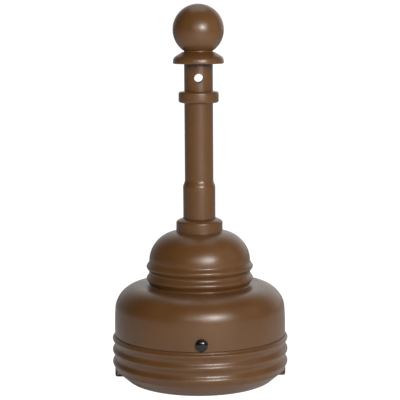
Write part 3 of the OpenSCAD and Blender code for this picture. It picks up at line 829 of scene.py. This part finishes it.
def makeHead(s):
    # The revolved neck, skirt and ball, with one round hole from front to back and a painted shadow under
    # the skirt
    shell = gridMesh("shell", revolve(headProfile(s), 192, partingRidges(s)))
    hole = gridMesh("hole", alongFront(bar(s["holeRadius"], -60, 60, 96), s["holeHeight"]))
    shell = cutAway(shell, [hole])
    rubs = [(s["skirtRadius"] - 1.2, s["skirtRadius"] + 1, s["skirtLow"] - 1, s["skirtLow"] + 9)]
    # the last argument paints the skirt's shadow on the neck, from 56 mm to 30 mm under the throat
    brown = brownPlastic("brown_head", brownPlasticLook, rubs, (s["radius"] - 1, s["throatHeight"]),
                         (s["radius"] + 0.5, s["throatHeight"] - 56, s["throatHeight"] - 30))
    piece = finishPiece("head_shell", shell, brown, "top")
    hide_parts("head")
    print("head made:", len(shell.polygons), "faces")


knobLow, knobHigh = boxSize("knob")
knobSizes = {
    "radius": (knobHigh[0] - knobLow[0]) / 2,
    "depth": knobHigh[1] - knobLow[1],
    "seat": -knobHigh[1],
    "height": (knobHigh[2] + knobLow[2]) / 2,
    "flutes": 24,
    "fluteDepth": 0.5,
}


def makeKnob(s):
    # A domed knob with fluted sides, revolved about Z and laid along -Y
    r, side = s["radius"], 3.0
    dome = arcLine((0, side), r, s["depth"] - side, 8, 90, 26)
    line = np.concatenate([roundedLine([(0, 0, 0), (r - 1, 0, 0.5), (r, 1, 0.6), (r, side, 0)]), dome])
    grid = revolve(line, 192, (), (s["flutes"], s["fluteDepth"], 0.8, side + 2.2))
    mesh = gridMesh("knob", alongFront(grid + np.array([0, 0, s["seat"]]), s["height"]))
    piece = finishPiece("knob_dome", mesh, blackPhenolic(), "clamp_knob")
    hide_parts("knob")


studLow, studHigh = boxSize("knob_stud")
studSizes = {
    "radius": (studHigh[0] - studLow[0]) / 2,
    "tip": -studHigh[1],
    "end": -studLow[1],
    "pitch": 1.25,
    "depth": 0.65,
    "plain": 6.0,       # plain shank next to the knob
}


def makeStud(s):
    # A screw thread: r(u, z) = radius - depth * |saw(z / pitch - u / 2pi)|, faded out at both ends
    turns = np.linspace(0, 2 * pi, 40, endpoint=False)
    z = np.arange(0, s["end"] - s["tip"] - 0.01, s["pitch"] / 10)
    wave = np.abs(((z[:, None] / s["pitch"] - turns[None] / (2 * pi)) % 1) - 0.5) * 2
    lead = np.clip(z / 1.6, 0, 1)[:, None]
    fade = np.clip((s["end"] - s["tip"] - s["plain"] - z) / 1.2, 0, 1)[:, None]
    r = s["radius"] - 0.05 - s["depth"] * wave * fade - 1.1 * (1 - lead)
    body = np.stack([r * np.cos(turns), r * np.sin(turns), np.repeat(z[:, None], 40, 1)], 2)
    caps = [np.repeat([[[0, 0, end]]], 40, 1) for end in (z[0], z[-1])]
    grid = np.concatenate([caps[0], body, caps[1]]) + np.array([0, 0, s["tip"]])
    mesh = gridMesh("stud", alongFront(grid, knobSizes["height"]))
    zinc = turnedMetal("zinc_plate", (0.60, 0.62, 0.64), (0.48, 0.50, 0.52), 0.26, 8)
    piece = finishPiece("stud_thread", mesh, zinc, "clamp_knob", 50)
    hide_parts("knob_stud")
    dress("knob_washer", zinc)
    dress("threaded_insert", turnedMetal("turned_brass", (0.66, 0.48, 0.20), (0.50, 0.34, 0.13), 0.28, 8))
    print("knob and stud made")


pailLow, pailHigh = boxSize("pail_body")
pailSizes = {
    "low": pailLow[2],
    "top": pailHigh[2],
    "curlOut": (pailHigh[0] - pailLow[0]) / 2,
    "curl": 3.4,
    "lean": 26.0 / 212.0,     # how far the wall leans out for each millimetre up
    "sheet": 1.0,
    "bottomRadius": boxSize("pail_bottom")[1][0] + 1.02,
    "beads": (0.34, 0.68),
    "beadOut": 1.6,
    "beadHalf": 5.0,
    "seamAt": 58.0,       # degrees round from +X
    "seamHeight": 0.8,
    "seamWidth": 3.2,
}


def pailSpine(s):
    # Middle line of the sheet: leaning wall with two beads, then a curl that turns outwards
    curlAt = (s["curlOut"] - s["curl"], s["top"] - s["curl"])
    z = np.linspace(s["low"], curlAt[1] - 2, 120)
    r = s["bottomRadius"] + s["lean"] * (z - s["low"]) - s["sheet"] / 2
    for share in s["beads"]:
        away = (z - s["low"] - share * (s["top"] - s["low"])) / s["beadHalf"]
        r = r + s["beadOut"] * np.where(np.abs(away) < 1, (1 + np.cos(pi * away)) / 2, 0)
    roll = s["curl"] - s["sheet"] / 2
    return np.concatenate([np.stack([r, z], 1), arcLine(curlAt, roll, roll, 172, -150, 28)])


def sheetProfile(spine, thickness):
    # Both faces of a sheet: the spine moved half a thickness along its normals, out and back
    along = np.gradient(spine, axis=0)
    normal = np.stack([along[:, 1], -along[:, 0]], 1) / np.hypot(along[:, 0], along[:, 1])[:, None]
    return np.concatenate([spine + normal * thickness / 2, (spine - normal * thickness / 2)[::-1]])


def makePail(s):
    # The revolved sheet with its upright seam, and zinc for the pieces that keep their CAD shape
    line = sheetProfile(pailSpine(s), s["sheet"] - 0.04)
    seam = [(s["seamAt"], s["seamHeight"], s["seamWidth"])]
    mesh = gridMesh("pail", revolve(line, 176, seam), True)
    zinc = galvanised("galvanised_sheet", 75)
    piece = finishPiece("pail_wall", mesh, zinc, "pail")
    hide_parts("pail_body")
    fine = galvanised("galvanised_wire", 160)
    dress("pail_bottom", zinc)
    for name in ("pail_rim_wire", "pail_ear_left", "pail_ear_right", "ear_rivets", "bail_wire"):
        dress(name, fine)
    print("pail made:", len(mesh.polygons), "faces")


wireHigh = boxSize("bail_wire")[1]
gripSizes = {
    "bend": wireHigh[0] - 2,      # radius of the bail
    "pivot": wireHigh[2] - 2,
    "fold": 20.0,
    "radius": 7.5,
    "wire": 2.03,
    "length": 60.0,
    "ribs": 9,
    "ribDepth": 0.7,
}


def makeGrip(s):
    # A tube carried along the bail's arc: its radius eases in at both ends and dips between ribs
    half = s["length"] / 2 / s["bend"]
    t = np.linspace(-1, 1, 109)
    ends = np.sqrt(np.clip(1 - np.clip((np.abs(t) - 0.93) / 0.07, 0, 1) ** 2, 0, 1))
    ribs = (1 - np.cos(s["ribs"] * 2 * pi * (t + 1) / 2)) / 2 * (np.abs(t) < 0.8)
    radius = s["wire"] + (s["radius"] - s["wire"]) * ends - s["ribDepth"] * ribs
    turns = np.linspace(0, 2 * pi, 48, endpoint=False)
    t = np.concatenate([t[:1], t, t[-1:]])
    radius = np.concatenate([[s["wire"]], radius, [s["wire"]]])
    angle = pi / 2 - t * half
    out = s["bend"] + radius[:, None] * np.cos(turns)
    skin = np.stack([out * np.cos(angle)[:, None], out * np.sin(angle)[:, None],
                     radius[:, None] * np.sin(turns)], 2)
    inner = s["bend"] + s["wire"] * np.cos(turns)[None]
    bore = np.stack([inner * np.cos(angle[::-1])[:, None], inner * np.sin(angle[::-1])[:, None],
                     np.repeat(s["wire"] * np.sin(turns)[None], len(t), 0)], 2)
    grid = np.concatenate([skin, bore])
    a = radians(-s["fold"])
    y = grid[..., 1] * cos(a) - grid[..., 2] * sin(a)
    z = grid[..., 1] * sin(a) + grid[..., 2] * cos(a)
    mesh = gridMesh("grip", np.stack([grid[..., 0], y, z + s["pivot"]], 2), True)
    piece = finishPiece("grip_tube", mesh, gripPlastic(), "bail")
    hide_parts("bail_grip")
    print("grip made")


makeBase(baseSizes)
makeCover(coverSizes)
makePole(poleSizes)
makeHead(headSizes)
makeKnob(knobSizes)
makeStud(studSizes)
makePail(pailSizes)
makeGrip(gripSizes)
dress("pole_lock_ring", brownPlastic("brown_ring", brownPlasticLook))


def makeFloor(halfWidth=150, side=9):
    # A wide flat sheet under the bin: a grid with side points each way, in metres
    across = np.linspace(-halfWidth, halfWidth, side)
    x, y = np.meshgrid(across, across)
    points = np.stack([x, y, np.full_like(x, -0.0005)], 2).reshape(-1, 3)
    i = (np.arange(side - 1)[:, None] * side + np.arange(side - 1)[None]).reshape(-1, 1)
    mesh = bpy.data.meshes.new("floor")
    mesh.from_pydata(points.tolist(), [], (i + np.array([[0, 1, side + 1, side]])).tolist())
    mesh.materials.append(paleFloor(worldLight))
    floor = bpy.data.objects.new("floor", mesh)
    bpy.context.scene.collection.objects.link(floor)


makeFloor()
bpy.context.view_layer.update()
